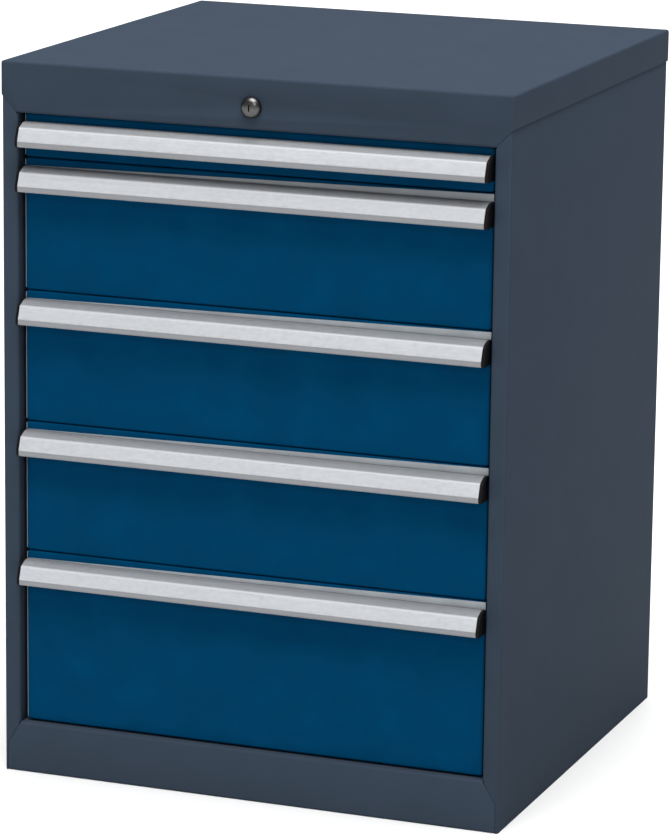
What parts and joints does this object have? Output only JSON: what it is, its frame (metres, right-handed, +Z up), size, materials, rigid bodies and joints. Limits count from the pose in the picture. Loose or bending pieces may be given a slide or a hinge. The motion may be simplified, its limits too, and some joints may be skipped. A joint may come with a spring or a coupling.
{
  "type": "drawer cabinet",
  "caption": "Steel workshop drawer cabinet with sliding drawers on telescopic rails, aluminium grip strips and a central lock.",
  "frame": {"origin": "middle of the cabinet footprint on the floor, the grip strips counted in", "axes": "+Z up, -Y towards the drawer fronts, +X to the right when looking at the fronts"},
  "size_m": [0.6, 0.5846, 0.82],
  "materials": {
    "end_cap_black": "matte",
    "front_blue": "satin",
    "grip_aluminium": "satin",
    "housing_grey": "satin",
    "label_grey": "satin",
    "lock_nickel": "gloss",
    "tray_grey": "satin",
    "zinc_steel": "satin"
  },
  "bodies": {
    "housing": {"bar_guides": "end_cap_black", "base_pan": "housing_grey", "cabinet_rails_1": "zinc_steel", "cabinet_rails_2": "zinc_steel", "cabinet_rails_3": "zinc_steel", "cabinet_rails_4": "zinc_steel", "cabinet_rails_5": "zinc_steel", "lock_housing": "lock_nickel", "lock_nut": "zinc_steel", "rear_panel": "housing_grey", "shaft_bracket": "zinc_steel", "side_panel_left": "housing_grey", "side_panel_right": "housing_grey", "top_cover": "housing_grey", "upright_front_left": "zinc_steel", "upright_front_right": "zinc_steel", "upright_rear_left": "zinc_steel", "upright_rear_right": "zinc_steel"},
    "lock": {"lock_plug": "lock_nickel", "lock_shaft": "zinc_steel"},
    "locking_bar": {"lock_bar": "zinc_steel", "lock_tabs": "zinc_steel"},
    "drawer_1": {"drawer_1_end_caps": "end_cap_black", "drawer_1_front": "front_blue", "drawer_1_grip": "grip_aluminium", "drawer_1_rails": "zinc_steel", "drawer_1_tray": "tray_grey"},
    "intermediate_1": {"intermediate_rails_1": "zinc_steel"},
    "drawer_2": {"drawer_2_end_caps": "end_cap_black", "drawer_2_front": "front_blue", "drawer_2_grip": "grip_aluminium", "drawer_2_label_strip": "label_grey", "drawer_2_rails": "zinc_steel", "drawer_2_tray": "tray_grey"},
    "intermediate_2": {"intermediate_rails_2": "zinc_steel"},
    "drawer_3": {"drawer_3_end_caps": "end_cap_black", "drawer_3_front": "front_blue", "drawer_3_grip": "grip_aluminium", "drawer_3_label_strip": "label_grey", "drawer_3_rails": "zinc_steel", "drawer_3_tray": "tray_grey"},
    "intermediate_3": {"intermediate_rails_3": "zinc_steel"},
    "drawer_4": {"drawer_4_end_caps": "end_cap_black", "drawer_4_front": "front_blue", "drawer_4_grip": "grip_aluminium", "drawer_4_label_strip": "label_grey", "drawer_4_rails": "zinc_steel", "drawer_4_tray": "tray_grey"},
    "intermediate_4": {"intermediate_rails_4": "zinc_steel"},
    "drawer_5": {"drawer_5_end_caps": "end_cap_black", "drawer_5_front": "front_blue", "drawer_5_grip": "grip_aluminium", "drawer_5_label_strip": "label_grey", "drawer_5_rails": "zinc_steel", "drawer_5_tray": "tray_grey"},
    "intermediate_5": {"intermediate_rails_5": "zinc_steel"}
  },
  "joints": [
    {"name": "lock_turn", "type": "hinge", "parent": "housing", "child": "lock", "pos_m": [0, -0.2777, 0.7875], "axis": [0, 1, 0], "range_deg": [0, 90]},
    {"name": "locking_bar_slide", "type": "slide", "parent": "housing", "child": "locking_bar", "axis": [0, 0, -1], "range_m": [0, 0.0141]},
    {"name": "drawer_1_slide", "type": "slide", "parent": "housing", "child": "drawer_1", "axis": [0, -1, 0], "range_m": [0, 0.49]},
    {"name": "intermediate_1_slide", "type": "slide", "parent": "housing", "child": "intermediate_1", "axis": [0, -1, 0], "range_m": [0, 0.245]},
    {"name": "drawer_2_slide", "type": "slide", "parent": "housing", "child": "drawer_2", "axis": [0, -1, 0], "range_m": [0, 0.49]},
    {"name": "intermediate_2_slide", "type": "slide", "parent": "housing", "child": "intermediate_2", "axis": [0, -1, 0], "range_m": [0, 0.245]},
    {"name": "drawer_3_slide", "type": "slide", "parent": "housing", "child": "drawer_3", "axis": [0, -1, 0], "range_m": [0, 0.49]},
    {"name": "intermediate_3_slide", "type": "slide", "parent": "housing", "child": "intermediate_3", "axis": [0, -1, 0], "range_m": [0, 0.245]},
    {"name": "drawer_4_slide", "type": "slide", "parent": "housing", "child": "drawer_4", "axis": [0, -1, 0], "range_m": [0, 0.49]},
    {"name": "intermediate_4_slide", "type": "slide", "parent": "housing", "child": "intermediate_4", "axis": [0, -1, 0], "range_m": [0, 0.245]},
    {"name": "drawer_5_slide", "type": "slide", "parent": "housing", "child": "drawer_5", "axis": [0, -1, 0], "range_m": [0, 0.49]},
    {"name": "intermediate_5_slide", "type": "slide", "parent": "housing", "child": "intermediate_5", "axis": [0, -1, 0], "range_m": [0, 0.245]}
  ],
  "couplings": [
    {"joint": "lock_turn", "follows": "locking_bar_slide", "rad_per_m": 111.11},
    {"joint": "intermediate_1_slide", "follows": "drawer_1_slide", "ratio": 0.5},
    {"joint": "intermediate_2_slide", "follows": "drawer_2_slide", "ratio": 0.5},
    {"joint": "intermediate_3_slide", "follows": "drawer_3_slide", "ratio": 0.5},
    {"joint": "intermediate_4_slide", "follows": "drawer_4_slide", "ratio": 0.5},
    {"joint": "intermediate_5_slide", "follows": "drawer_5_slide", "ratio": 0.5}
  ]
}
